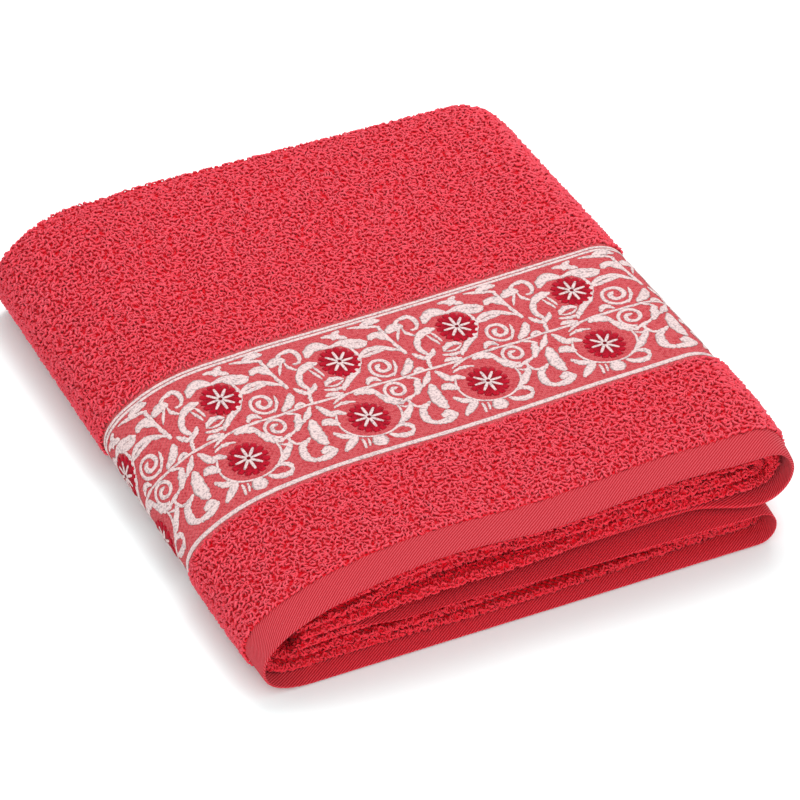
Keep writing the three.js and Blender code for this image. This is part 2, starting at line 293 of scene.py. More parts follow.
# %% Strips to mesh
def strip_corners(count, rings, sides):
    """Corner numbers of the side quads and of the two end caps of every strip."""
    first = (np.arange(count) * rings * sides)[:, None, None]
    ring, side = np.arange(rings - 1)[None, :, None], np.arange(sides)[None, None, :]
    here, beside = first + ring * sides + side, first + ring * sides + (side + 1) % sides
    quads = np.stack([here, beside, beside + sides, here + sides], axis=-1).reshape(-1, 4)
    start = first[:, 0] + np.arange(sides)[::-1]
    end = first[:, 0] + (rings - 1) * sides + np.arange(sides)
    return quads, np.stack([start, end], axis=1).reshape(-1, sides)


def strip_cells(count, rings, sides):
    """UV corners: a square grid of cells, each with the strip unrolled and its caps at one edge."""
    cells = math.ceil(math.sqrt(count))
    number = np.arange(count)
    corner = np.stack([number % cells, number // cells], axis=-1)[:, None, None, None]
    ring, side = np.meshgrid(np.arange(rings - 1), np.arange(sides), indexing="ij")
    u = np.stack([ring, ring, ring + 1, ring + 1], axis=-1) / (rings - 1) * 0.88
    v = np.stack([side, side + 1, side + 1, side], axis=-1) / sides
    quads = (corner + 0.03 + 0.94 * np.stack([u, v], axis=-1)[None]) / cells
    turn = 2 * np.pi * np.arange(sides) / sides
    disc = np.stack([0.95 + 0.03 * np.cos(turn), 0.25 + 0.2 * np.sin(turn)], axis=-1)
    caps = np.stack([disc, disc + [0, 0.5]])[None] + corner[:, 0]
    return quads.reshape(-1, 2), (caps / cells).reshape(-1, 2)


def enclosed(points, *faces):
    """Six times the enclosed volume: corner times the cross product of the next two, summed.

    It is positive when the faces look outwards.
    """
    fans = [points[corners] for corners in faces]
    return sum((fan[:, :1] * np.cross(fan[:, 1:-1], fan[:, 2:])).sum() for fan in fans)


def strips(name, points, shade=None):
    """Mesh object from points shaped (strips, rings, sides, 3) in mm of the path's own origin."""
    count, rings, sides, _ = points.shape
    quads, caps = strip_corners(count, rings, sides)
    quad_uv, cap_uv = strip_cells(count, rings, sides)
    if enclosed(points.reshape(-1, 3), quads, caps) < 0:
        quads, caps = quads[:, ::-1], caps[:, ::-1]
        quad_uv = quad_uv.reshape(-1, 4, 2)[:, ::-1].reshape(-1, 2)
        cap_uv = cap_uv.reshape(-1, sides, 2)[:, ::-1].reshape(-1, 2)
    corners = np.concatenate([quads.ravel(), caps.ravel()])
    sizes = np.concatenate([np.full(len(quads), 4), np.full(len(caps), sides)])
    mesh = bpy.data.meshes.new(name)
    mesh.vertices.add(count * rings * sides)
    mesh.vertices.foreach_set("co", ((points.reshape(-1, 3) - origin) / 1000).astype(np.float32).ravel())
    mesh.loops.add(len(corners))
    mesh.loops.foreach_set("vertex_index", corners.astype(np.int32))
    mesh.polygons.add(len(sizes))
    mesh.polygons.foreach_set("loop_start", np.concatenate([[0], np.cumsum(sizes)[:-1]]).astype(np.int32))
    mesh.polygons.foreach_set("use_smooth", np.ones(len(sizes), dtype=bool))
    mesh.update(calc_edges=True)
    atlas = mesh.uv_layers.new(name="OFBake")
    atlas.uv.foreach_set("vector", np.concatenate([quad_uv, cap_uv]).astype(np.float32).ravel())
    if shade is not None:
        tint = mesh.attributes.new("tint", "FLOAT", "POINT")
        tint.data.foreach_set("value", shade.astype(np.float32).ravel())
    piece = bpy.data.objects.new(name, mesh)
    bpy.context.scene.collection.objects.link(piece)
    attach(piece, "root")
    triangles = int((sizes - 2).sum())
    print(name, "-", count, "strips,", triangles, "triangles")
    return piece, corners, sizes


# %% [markdown]
# ## The ground cloth
# Under the pile lies a thin woven ground. The solid shows the towel as thick as it is with its
# pile, so the ground runs along the same back-and-forth section, a little inside it: the pile
# will stand in the difference. At the hem and at the border there is no pile, and there the
# ground lies exactly on the solid's face. The section is written once, for all places along the
# path together; each column of the arrays is one point of the outline.

# %% Depth of the pile and of the bare bands, and points along each stretch of the section
PILE_STEP = 0.8
PILE_DEPTH_SHARE = 0.06
BACK_SETBACK_FOLD, BACK_SETBACK_END = 4.0, 12.0
BAND_INSET, PILE_INSET, HEM_INSET = 0.6, 1.2, 0.8
HEM_POINTS, FRONT_POINTS, BAND_POINTS, BACK_POINTS = 7, 13, 20, 32
OUTER_STEPS, INNER_STEPS, HEM_TURN_STEPS, END_STEPS = 10, 4, 6, 3
print("share of a layer's depth that is pile, each side:", PILE_DEPTH_SHARE)


def layer_faces(along):
    """Depth in mm of both ground faces of each layer, shaped (places, layers)."""
    thick = on_path("thick", along)[:, None]
    number = np.arange(LAYERS)[None, :]
    low = PILE_DEPTH_SHARE * thick
    return number * pitch * thick + low, (number * pitch + cloth) * thick - low


def fold_places(along):
    """Centres along Y of the front and back folds, and the radii of a fold's two faces."""
    thick = on_path("thick", along)
    turn = (pitch + cloth) / 2 * thick
    low = PILE_DEPTH_SHARE * thick
    front1, front2 = on_path("ridge1", along) + turn, on_path("ridge2", along) + turn
    back1 = on_path("back", along) - turn
    return front1, front2, back1, back1 - BACK_SETBACK_FOLD, turn - low, (pitch - cloth) / 2 * thick + low


def half_turn(y, start, end, side, reach, steps):
    """Half circle in Y and depth from one face to the other, bulging to the front or the back."""
    angle = np.linspace(0, np.pi, steps + 1)[None, :]
    return (y[:, None] + side * reach[:, None] * np.sin(angle),
            (start + end)[:, None] / 2 + (start - end)[:, None] / 2 * np.cos(angle))


def stretch(front, back, depth, count):
    """Straight face in sight, with evenly spaced points: the start plus shares of the length."""
    start = np.zeros_like(depth)[:, None] + np.reshape(front, (-1, 1))
    points = start + np.linspace(0, 1, count) * (np.reshape(back, (-1, 1)) - start)
    return points, depth[:, None] * np.ones(count)


def run(front, back, depth, towards_back):
    """Hidden straight face between two folds; its points crowd towards the folds."""
    spread = np.array([0.03, 0.10, 0.30, 0.60, 0.85, 0.97])
    spread = spread if towards_back else spread[::-1]
    return front[:, None] + spread * (back - front)[:, None], np.repeat(depth[:, None], len(spread), axis=1)


def ground_section(along):
    """Outline of the five ground layers: arrays of Y and depth, shaped (places, points)."""
    upper, lower = layer_faces(along)
    front1, front2, back1, back2, outer, inner = fold_places(along)
    hem, back = on_path("hem", along), on_path("back", along)
    hem_thick = cloth * on_path("thick", along)
    hem_reach = (hem_thick - PILE_STEP) / 2
    bare = np.full_like(hem, PILE_STEP)
    end_back = back - BACK_SETBACK_END
    end_reach = (lower[:, 4] - upper[:, 4]) / 2
    hem_flat = (hem + hem_reach)[:, None] + np.linspace(0.03, 0.97, HEM_POINTS) * (HEM_WIDTH - 1.5)
    columns = [
        (hem_flat, bare[:, None] * np.ones(HEM_POINTS)),
        stretch(hem + HEM_WIDTH + HEM_INSET, BORDER_FRONT - PILE_INSET, upper[:, 0], FRONT_POINTS),
        stretch(BORDER_FRONT + BAND_INSET, BORDER_BACK - BAND_INSET, bare, BAND_POINTS),
        stretch(BORDER_BACK + PILE_INSET, back1 - 0.5, upper[:, 0], BACK_POINTS),
        half_turn(back1, upper[:, 0], lower[:, 1], 1, outer, OUTER_STEPS),
        run(front1, back1, lower[:, 1], False),
        half_turn(front1, lower[:, 1], upper[:, 2], -1, inner, INNER_STEPS),
        run(front1, back2, upper[:, 2], True),
        half_turn(back2, upper[:, 2], lower[:, 3], 1, outer, OUTER_STEPS),
        run(front2, back2, lower[:, 3], False),
        half_turn(front2, lower[:, 3], upper[:, 4], -1, inner, INNER_STEPS),
        run(front2, end_back, upper[:, 4], True),
        half_turn(end_back, upper[:, 4], lower[:, 4], 1, end_reach, END_STEPS),
        run(front2, end_back, lower[:, 4], False),
        half_turn(front2, lower[:, 4], upper[:, 3], -1, outer, OUTER_STEPS),
        run(front2, back2, upper[:, 3], True),
        half_turn(back2, upper[:, 3], lower[:, 2], 1, inner, INNER_STEPS),
        run(front1, back2, lower[:, 2], False),
        half_turn(front1, lower[:, 2], upper[:, 1], -1, outer, OUTER_STEPS),
        run(front1, back1, upper[:, 1], True),
        half_turn(back1, upper[:, 1], lower[:, 0], 1, inner, INNER_STEPS),
        run(hem + HEM_WIDTH, back1, lower[:, 0], False),
        stretch(hem + HEM_WIDTH, hem + HEM_WIDTH, hem_thick, 1),
        half_turn(hem + hem_reach, hem_thick, bare, -1, hem_reach, HEM_TURN_STEPS),
    ]
    return np.hstack([column[0] for column in columns]), np.hstack([column[1] for column in columns])


# %% Build the ground sheet
station_steps = [8, 12, 12, 14, 12, 24, 32, 16, 6, 10, 10]
stations = np.concatenate([np.linspace(a, b, n, endpoint=False) for a, b, n in
                           zip(section_starts[:-1], section_starts[1:], station_steps)] + [[PATH_END]])
section_y, section_depth = ground_section(stations)
ground_points = place(stations[:, None] * np.ones_like(section_y), section_y, section_depth)
# painted light on the hem: 1 where it lies in the light on the top, 0 where it is folded in and in shade;
# only the hem's finish reads it, to take its lit or its shaded colours
HEM_PAINTED_LIGHT = ((LOWER_FOLD - 10, 0.0), (LOWER_FOLD + 14, 0.5), (UNDERSIDE + 5, 0.1), (LEFT_LOWER - 10, 0.2),
        (LEFT_UPPER, 0.9), (TOP, 1.0), (UPPER_FOLD + 20, 1.0), (UPPER_FLAP, 0.3), (UPPER_FLAP + 30, 0.0))
hem_painted_light = np.interp(stations, *zip(*HEM_PAINTED_LIGHT))[:, None] * np.ones_like(section_y)
ground, ground_corners, ground_sizes = strips("towel_cloth", ground_points[None], hem_painted_light)
print("ground sheet box in mm:", (ground_points.min(axis=(0, 1)) - origin).round(1),
      (ground_points.max(axis=(0, 1)) - origin).round(1))

# %% [markdown]
# ## Terry pile
# Terry is made of yarn loops that stand out of the ground, uncut and slightly twisted, so each
# leans its own way. A bump map would give a rough skin, but the edge of the stack shows single
# loops, and light falls between them. So each loop is a real bent tube. All loops of a field are
# one array: a small curve of five points is turned, leaned and scaled by random numbers, and
# then every corner goes through the same folding function as the ground.

# %% Shape of one loop, in mm
LOOP_CURVE = np.array([
    [-1.25, -0.15, -0.15],
    [-0.90, 0.40, 0.78],
    [0.00, 0.68, 1.02],
    [0.90, 0.28, 0.86],
    [1.00, -0.60, -0.12],
])
YARN_RADIUS = 0.57
LOOP_PITCH = 1.91
random = np.random.default_rng(11)
print("height of a loop in mm:", LOOP_CURVE[:, 2].max() + YARN_RADIUS)


def loop_tubes(count, tidy, lean, plain):
    """Closed tubes around the loop curve: shaped (count, rings, 3, 3) as along, across and height.

    Each curve is mirrored or not, leaned, scaled, and turned about the upright by an angle. The
    tube's rings stand at right angles to the curve: centre plus the yarn radius times a sine and
    a cosine in the two directions across it. tidy (0 to 1) turns loops towards the angle lean.
    A plain loop keeps every second ring only, for places deep between the layers.
    """
    curve = np.repeat(LOOP_CURVE[None], count, axis=0)
    curve[:, :, 1] *= np.where(random.random(count) < 0.5, 1, -1)[:, None]
    curve[:, :, 1] *= random.uniform(0.5, 1.35, count)[:, None]
    curve[:, 1:4, 2] *= random.uniform(0.70, 1.18, (count, 1))
    curve[:, 1:4, 2] += random.normal(0, 0.10, (count, 3))
    curve[:, 1:4, :2] += random.normal(0, 0.14, (count, 3, 2))
    curve[:, :, :2] *= random.uniform(0.85, 1.12, (count, 1, 1))
    angle = random.uniform(-np.pi, np.pi, count) * (1 - tidy) + tidy * random.normal(lean, 0.5, count)
    cosine, sine = np.cos(angle)[:, None], np.sin(angle)[:, None]
    curve[:, :, 0], curve[:, :, 1] = (cosine * curve[:, :, 0] - sine * curve[:, :, 1],
                                      sine * curve[:, :, 0] + cosine * curve[:, :, 1])
    if plain:
        curve = curve[:, ::2]
    forward = np.gradient(curve, axis=1)
    forward /= np.linalg.norm(forward, axis=2, keepdims=True)
    sideways = np.cross(forward, [0.0, 0.0, 1.0])
    sideways /= np.linalg.norm(sideways, axis=2, keepdims=True) + 1e-9
    upwards = np.cross(sideways, forward)
    turn = 2 * np.pi * np.arange(3) / 3 + np.pi / 2
    radius = YARN_RADIUS * random.uniform(0.9, 1.12, (count, 1, 1, 1))
    ring = (np.cos(turn)[:, None] * sideways[:, :, None] + np.sin(turn)[:, None] * upwards[:, :, None])
    return curve[:, :, None] + radius * ring


# %% Fields of loops
FRONT_SIZE = 0.87
TIP_HEIGHT = 1.3
# painted shade by height: the tint grows with a loop's height, so roots are darker as if in shade between
# the loops; the random share gives each loop its own tone
SHADE_BY_HEIGHT, SHADE_BY_CHANCE = 0.7, 0.3
# painted shade in the folds: loops in the front folds and between the layers take less of the pale tip
# colour
FRONT_PAINTED_LIGHT, HIDDEN_PAINTED_LIGHT = 0.5, 0.25
pile = []


def scatter(along_range, cross_range, edges=(), pitch=LOOP_PITCH):
    """Jittered grid of loop places in two lengths; rows within 5 mm of the edges stay in line."""
    columns = max(1, round((along_range[1] - along_range[0]) / pitch))
    rows = max(1, round((cross_range[1] - cross_range[0]) / pitch))
    a, s = np.meshgrid(np.arange(columns) + 0.5, np.arange(rows) + 0.5, indexing="ij")
    a = a.ravel() / columns * (along_range[1] - along_range[0]) + along_range[0]
    s = s.ravel() / rows * (cross_range[1] - cross_range[0]) + cross_range[0]
    tidy = np.zeros(len(a))
    for edge in edges:
        tidy = np.maximum(tidy, np.clip(1 - np.abs(s - edge) / 5, 0, 1))
    loose = 0.46 * (1 - 0.6 * tidy)
    jitter = random.uniform(-1, 1, (2, len(a))) * pitch * loose
    return a + jitter[0], s + jitter[1], tidy


def add_pile(name, a, tidy, to_section, lean=0.9, plain=False, painted_light_share=1.0, size=1.0):
    """Loops at the places a; to_section turns (a, across, height) into Y and depth.

    The share of painted light scales the tint. Each loop is painted in the dark root colour low down, as
    shade between the loops, and in the pale tip colour high up, as light on it. In the front folds and
    between the layers the share is smaller, which paints those loops darker, as if in shade.
    """
    tubes = size * loop_tubes(len(a), tidy, lean, plain)
    along = a[:, None, None] + tubes[..., 0]
    y, depth = to_section(along, tubes[..., 1], tubes[..., 2])
    height = np.clip(tubes[..., 2] / TIP_HEIGHT, 0, 1)
    # painted shade and light: the root colour low down, the tip colour high up, and a random tone for each
    # loop
    shade = painted_light_share * (height * SHADE_BY_HEIGHT + SHADE_BY_CHANCE * random.random((len(a), 1, 1)))
    piece, *_ = strips(name, place(along, y, depth), shade)
    pile.append(piece)


def top_face(name, along_range, cross_range, edges):
    """Loops on the outer face: Y is the place across it, and depth is the ground's less height."""
    a, s, tidy = scatter(along_range, cross_range, edges)

    def to_section(along, across, height):
        return s[:, None, None] + across, PILE_DEPTH_SHARE * on_path("thick", along) - height

    add_pile(name, a, tidy, to_section)


# for each fold: its column in fold_places, the two layers it joins, and the side it bulges to
FOLDS = {"back1": (2, 0, 1, 1), "back2": (3, 2, 3, 1), "front1": (0, 1, 2, -1), "front2": (1, 3, 4, -1)}


def fold_face(fold):
    """Loops round a fold: a half circle about its centre, with the radius of the ground.

    On a front fold, pressed between the layers, loops are drawn small and lie along the fold.
    """
    column, first, second, side = FOLDS[fold]
    along_range = (-0.4, PATH_END + 0.4)
    widest = float(fold_places(np.linspace(*along_range, 40))[4].max())
    size = 1.0 if side > 0 else FRONT_SIZE
    a, s, tidy = scatter(along_range, (0.02 * np.pi * widest, 0.98 * np.pi * widest),
                         pitch=size * LOOP_PITCH)

    def to_section(along, across, height):
        upper, lower = layer_faces(along.ravel())
        shaped = [array.reshape(along.shape) for array in fold_places(along.ravel())]
        middle_depth = (upper[:, first] + lower[:, second]).reshape(along.shape) / 2
        radius = shaped[4]
        angle = s[:, None, None] / widest + across / np.maximum(radius, 1.0)
        reach = radius + height
        return shaped[column] + side * reach * np.sin(angle), middle_depth - reach * np.cos(angle)

    if side > 0:
        add_pile("pile_" + fold, a, tidy, to_section)
    else:
        # painted shade: front-fold loops stay nearer the dark root colour
        add_pile("pile_" + fold, a, tidy + 0.7, to_section, lean=0.1, painted_light_share=FRONT_PAINTED_LIGHT, size=size)


BACK_EDGE = FOLD_DEPTH - 4.5
LEFT_SHOULDER = LEFT_UPPER + 66
LEFT_START, LOWER_RIGHT = LEFT_LOWER - 2, (LOWER_FOLD - 6, UNDERSIDE + 2)
behind, before = (BORDER_BACK - 1.5, BACK_EDGE - 2), (HEM_WIDTH + 0.6, BORDER_FRONT - 0.8)
for label, along_range, cross_range, edges in (
        ("top", (LEFT_SHOULDER, UPPER_FOLD), (BORDER_BACK - 1.5, BACK_EDGE), (BORDER_BACK,)),
        ("left", (LEFT_START, LEFT_SHOULDER), behind, (BORDER_BACK,)),
        ("right", (UPPER_FOLD, UPPER_FLAP + 6), behind, (BORDER_BACK,)),
        ("right_lower", LOWER_RIGHT, behind, (BORDER_BACK,)),
        ("front", (LEFT_START, UPPER_FLAP + 6), before, (HEM_WIDTH, BORDER_FRONT)),
        ("front_lower", LOWER_RIGHT, before, (HEM_WIDTH, BORDER_FRONT))):
    top_face("pile_" + label, along_range, cross_range, edges)
for fold in FOLDS:
    fold_face(fold)


def hidden_face(name, along_range, cross_range, layer, side, start=None):
    """Plain loops on a layer's upper face (side 0) or lower face (side 1), where layers part.

    cross_range is counted from a front fold's centre (start 0 or 1), or else from the hem edge.
    """
    a, s, tidy = scatter(along_range, cross_range)

    def to_section(along, across, height):
        flat = along.ravel()
        first = 0 if start is None else fold_places(flat)[start].reshape(along.shape)
        depth = layer_faces(flat)[side][:, layer].reshape(along.shape)
        return first + s[:, None, None] + across, depth + height * (1 if side else -1)

    # painted shade: loops between the layers stay nearer the dark root colour
    add_pile(name, a, tidy, to_section, plain=True, painted_light_share=HIDDEN_PAINTED_LIGHT)


# the innermost face at the left, the second layer where the outermost stands off it, and the
# gap between the two front folds all along the path but for the underside
hidden_face("pile_inner", (UNDERSIDE + 185, TOP + 6), (14, 30), 4, 1)
hidden_face("pile_inner_upper", (FLAP_TIP - 15, PATH_END - 1), (14, 26), 4, 1)
hidden_face("pile_inner_lower", (1, 40), (14, 26), 4, 1)
hidden_face("pile_second", (UPPER_FOLD - 45, UPPER_FLAP + 30), (13, 28), 1, 0)
hidden_face("pile_second_tip", (0.5, LOWER_FLAP + 30), (11, 21), 1, 0)
for label, along_range in (("lower", (0.5, UNDERSIDE)), ("upper", (LEFT_LOWER - 10, PATH_END - 0.5))):
    hidden_face("pile_gap_third_" + label, along_range, (0.8, 9.0), 2, 1, start=0)
    hidden_face("pile_gap_fourth_" + label, along_range, (0.8, 9.0), 3, 0, start=1)
print("pile pieces:", len(pile))

# %% [markdown]
# ## The woven border
# The border is a flat jacquard band: off-white and crimson yarn comes to the face where the
# pattern needs it, and stands a hair above the ground. The design repeats along the towel. Each
# leaf, stem and petal is a ribbon along a Bezier curve, widest in its middle and a little domed,
# with slightly stepped edges as woven shapes have. The numbers are a chart in mm:
# first along the border from the lower rosette, then from the hem edge.

# %% Chart of one repeat
REPEAT = 56.8
ROSETTE_LOW, ROSETTE_HIGH = (0.0, 100.0), (5.5, 142.0)
FIRST_ROSETTE = TOP + LEFT_SLOPE - 26.4
STEM, LEAF, BUD = 0.12, 0.58, 0.40
LEAF_RINGS, SPIRAL_RINGS, RAY_RINGS, LINE_RINGS = 12, 34, 7, 420
# four corners of the curve, greatest width, and how blunt the ends are
CHART = [
    # the stem between the two rows, and its small leaves
    ((-28.6, 119.4), (-18, 121.0), (-8, 118.6), (0, 119.6), 1.8, STEM),
    ((0, 119.6), (9, 121.4), (19, 119.0), (28.4, 119.4), 1.8, STEM),
    ((-25.6, 120.0), (-23.5, 122.5), (-22.0, 123.6), (-20.6, 120.0), 3.0, LEAF),
    ((9.5, 121.5), (11.5, 126.2), (14.0, 125.0), (15.8, 121.2), 3.4, LEAF),
    # garland below the lower rosette
    ((-11.8, 108.0), (-17.5, 97.0), (-11.0, 86.6), (0.0, 86.4), 1.3, STEM),
    ((0.0, 86.4), (9.0, 86.6), (16.0, 94.0), (14.6, 103.5), 1.3, STEM),
    ((-9.8, 90.2), (-13.0, 89.0), (-15.5, 85.5), (-19.0, 82.6), 4.6, LEAF),
    ((-11.6, 91.6), (-14.5, 91.0), (-16.5, 93.5), (-18.2, 97.0), 3.6, LEAF),
    ((-9.2, 87.4), (-9.0, 85.0), (-9.8, 83.0), (-10.2, 80.8), 1.5, STEM),
    ((-6.8, 86.6), (-6.9, 84.5), (-7.6, 82.8), (-8.0, 81.6), 1.2, STEM),
    ((-1.6, 86.6), (-2.2, 84.6), (-2.6, 82.4), (-3.4, 79.8), 7.6, BUD),
    ((3.2, 85.8), (4.4, 81.6), (12.0, 80.2), (13.6, 84.0), 3.6, BUD),
    ((13.4, 82.8), (15.6, 87.4), (11.0, 90.8), (7.2, 88.6), 2.8, LEAF),
    ((9.8, 90.6), (13.6, 92.2), (16.6, 95.2), (20.0, 101.0), 4.2, LEAF),
    # leaves round the lower rosette
    ((-19.8, 103.4), (-18.0, 106.4), (-15.4, 104.4), (-13.2, 101.0), 5.2, LEAF),
    ((-17.2, 117.4), (-14.6, 114.0), (-15.6, 109.8), (-12.6, 107.6), 3.8, LEAF),
    ((-14.4, 108.6), (-11.6, 110.6), (-9.6, 109.6), (-7.6, 106.6), 3.4, LEAF),
    ((-10.6, 112.6), (-7.6, 115.0), (-3.6, 114.8), (-0.4, 112.6), 2.3, LEAF),
    ((-9.8, 115.4), (-7.0, 117.4), (-5.0, 118.6), (-2.4, 118.6), 1.9, LEAF),
    ((1.2, 117.4), (4.0, 119.6), (8.4, 118.0), (11.4, 113.2), 5.0, LEAF),
    ((9.6, 114.2), (12.6, 111.6), (11.0, 106.6), (17.6, 102.4), 4.4, LEAF),
    # lower spiral's leaves, the almond leaf and the curl with a bud
    ((14.6, 103.4), (18.4, 103.8), (22.0, 104.4), (25.2, 106.8), 2.4, LEAF),
    ((25.0, 105.8), (28.4, 108.2), (28.8, 112.6), (30.4, 116.6), 4.0, LEAF),
    ((30.0, 109.6), (32.6, 112.0), (35.0, 114.4), (37.4, 118.4), 3.2, LEAF),
    ((25.2, 119.4), (27.6, 118.6), (29.6, 117.2), (31.4, 114.4), 1.8, LEAF),
    ((33.2, 90.8), (31.6, 96.0), (32.2, 104.0), (34.0, 109.8), 6.4, LEAF),
    ((20.2, 104.0), (20.6, 101.0), (20.4, 98.4), (23.4, 97.0), 1.7, STEM),
    ((22.4, 98.2), (24.0, 96.0), (26.6, 97.0), (28.4, 99.0), 2.6, LEAF),
    ((27.6, 97.8), (20.6, 96.0), (19.4, 84.6), (25.6, 83.4), 3.9, BUD),
    ((24.6, 83.6), (28.0, 83.0), (32.2, 83.0), (35.0, 86.8), 4.2, BUD),
    ((29.0, 85.8), (30.6, 88.8), (33.0, 88.8), (34.6, 86.0), 4.4, BUD),
    ((15.4, 101.8), (17.0, 99.8), (18.6, 99.6), (20.4, 100.6), 1.6, LEAF),
    # leaves round the upper rosette
    ((-23.6, 151.6), (-20.4, 155.0), (-18.4, 154.8), (-15.4, 153.0), 6.0, LEAF),
    ((-22.0, 144.4), (-20.8, 147.6), (-19.0, 150.6), (-17.4, 152.6), 1.6, LEAF),
    ((-18.6, 155.4), (-13.0, 163.4), (-5.6, 157.6), (-10.4, 149.6), 2.9, BUD),
    ((-9.6, 151.0), (-10.6, 148.8), (-12.4, 148.8), (-13.6, 149.6), 2.0, LEAF),
    ((-16.4, 152.0), (-17.0, 148.6), (-15.0, 146.4), (-13.4, 144.6), 2.0, LEAF),
    ((-15.6, 130.4), (-17.6, 139.0), (-13.6, 145.6), (-6.6, 143.6), 3.4, LEAF),
    ((-13.6, 142.6), (-10.6, 146.8), (-6.6, 145.6), (-3.6, 145.6), 4.6, LEAF),
    ((-9.0, 142.6), (-8.2, 139.0), (-6.8, 137.0), (-6.6, 133.8), 1.6, LEAF),
    ((-6.6, 143.4), (-5.4, 140.6), (-5.0, 138.6), (-4.8, 135.4), 1.6, LEAF),
    ((-17.4, 119.8), (-17.2, 123.0), (-16.4, 126.0), (-15.4, 129.0), 2.2, STEM),
    ((-20.4, 133.4), (-19.0, 130.0), (-17.6, 128.0), (-15.2, 127.0), 3.0, LEAF),
    ((-15.8, 126.4), (-13.4, 128.4), (-12.2, 129.6), (-10.6, 132.4), 3.0, LEAF),
    ((-15.4, 127.4), (-14.4, 130.0), (-14.8, 132.0), (-15.2, 134.0), 2.0, LEAF),
    ((-6.4, 151.0), (-2.6, 158.6), (2.4, 158.0), (5.6, 153.0), 6.0, LEAF),
    ((5.0, 153.4), (11.0, 155.2), (17.6, 154.8), (22.6, 150.0), 3.8, LEAF),
    ((11.0, 153.4), (14.6, 149.4), (18.6, 148.6), (22.0, 149.8), 4.6, LEAF),
    ((13.4, 150.4), (15.6, 145.6), (15.2, 139.4), (11.2, 134.6), 2.4, LEAF),
    ((14.2, 140.6), (19.0, 147.2), (27.4, 145.0), (33.6, 136.8), 3.6, LEAF),
    ((13.6, 141.6), (16.6, 139.8), (22.0, 142.6), (26.6, 141.2), 2.8, LEAF),
    ((24.0, 150.6), (26.6, 155.4), (30.0, 153.0), (32.2, 146.6), 5.4, LEAF),
    ((34.2, 134.4), (33.0, 142.0), (31.6, 149.0), (31.4, 158.6), 2.1, STEM),
    ((18.6, 162.8), (24.0, 161.8), (28.0, 159.6), (32.4, 157.6), 2.6, LEAF),
    ((24.6, 161.4), (27.6, 163.6), (31.0, 162.8), (34.2, 162.0), 4.8, LEAF),
    ((5.4, 161.6), (9.6, 162.0), (13.0, 158.4), (15.8, 156.4), 3.8, LEAF),
    ((9.6, 157.6), (11.4, 160.2), (12.0, 161.6), (14.6, 163.2), 3.8, LEAF),
    ((12.6, 136.6), (9.0, 130.6), (2.0, 129.0), (-1.4, 122.2), 3.9, LEAF),
    ((-7.4, 128.4), (-4.0, 133.8), (-1.0, 132.4), (2.0, 130.0), 3.6, LEAF),
    ((-6.8, 128.2), (-3.6, 126.4), (-1.6, 127.2), (1.6, 129.4), 1.6, LEAF),
    ((-9.0, 126.6), (-6.0, 124.6), (-3.0, 124.4), (0.6, 124.8), 2.2, LEAF),
    ((-10.4, 121.6), (-8.0, 123.6), (-5.0, 121.4), (-2.4, 120.6), 3.0, LEAF),
    ((25.6, 120.8), (29.6, 123.4), (32.4, 126.6), (33.4, 131.0), 4.8, LEAF),
    ((22.4, 122.2), (25.0, 125.0), (26.6, 128.6), (26.8, 132.8), 1.7, LEAF),
]
# centre, outer radius, turns, direction, start angle in degrees, width
SPIRALS = [
    ((19.0, 112.6), 6.0, 1.6, -1, -95, 2.0),
    ((20.2, 130.6), 6.3, 1.6, -1, -60, 2.1),
]
SPIRAL_TALLER, SPIRAL_CLOSES = 1.22, 0.82
# distance of each edge line from the hem edge, and its width
EDGE_LINES = {"near": (75.9, 2.7), "far_in": (165.3, 1.7), "far_out": (167.4, 1.7)}
PATTERN_ENDS = (LOWER_FOLD - 30, UPPER_FLAP + 24)
RISE = 0.26
print("ribbons in one repeat of the chart:", len(CHART), "and", len(SPIRALS), "spirals")


# %% Ribbons along curves
def ribbons(centre, width, rise, base, ragged=0.0):
    """Rings of six points across each curve: two edges, three on the dome and one below.

    The direction across is the curve's own direction turned a quarter. Height over the ground is
    the dome's rise at its middle, a share of it between, and nothing at the edges. Woven edges
    step in and out from pick to pick: each edge moves by a random part of ragged.
    """
    forward = np.gradient(centre, axis=1)
    forward /= np.linalg.norm(forward, axis=2, keepdims=True) + 1e-9
    across = np.stack([-forward[..., 1], forward[..., 0]], axis=-1)
    steps = random.uniform(-ragged, ragged, (2, *width.shape)) * np.clip(width / 1.6 - 0.4, 0, 1)
    left, right = -(width / 2 + steps[0]), width / 2 + steps[1]
    spread = np.stack([left, 0.6 * left, 0 * left, 0.6 * right, right, 0 * left], axis=-1)
    height = np.array([0.0, 0.8, 1.0, 0.8, 0.0, -0.6])
    flat = centre[:, :, None] + across[:, :, None] * spread[..., None]
    return flat, base[:, None, None] + height * rise


def bezier(corners, steps):
    """Rows of four corners to curves: corners weighted by the Bernstein polynomials."""
    t = np.linspace(0, 1, steps)[None, :, None]
    p0, p1, p2, p3 = (corners[:, None, k] for k in range(4))
    return (1 - t)**3 * p0 + 3 * (1 - t)**2 * t * p1 + 3 * (1 - t) * t**2 * p2 + t**3 * p3


def on_border(flat, height):
    """Chart places and heights above the bare ground to places on the folded towel."""
    return place(flat[..., 0], flat[..., 1], PILE_STEP - height)


def repeats(flat, height):
    """One copy of the chart for every repeat along the path that can be seen."""
    first = math.ceil((PATTERN_ENDS[0] - FIRST_ROSETTE) / REPEAT)
    last = math.floor((PATTERN_ENDS[1] - FIRST_ROSETTE) / REPEAT)
    shift = FIRST_ROSETTE + REPEAT * np.arange(first, last + 1)
    moved = flat[None] + np.stack([shift, 0 * shift], axis=-1)[:, None, None, None]
    again = np.broadcast_to(height[None], (len(shift), *height.shape))
    return moved.reshape(-1, *flat.shape[1:]), again.reshape(-1, *height.shape[1:])


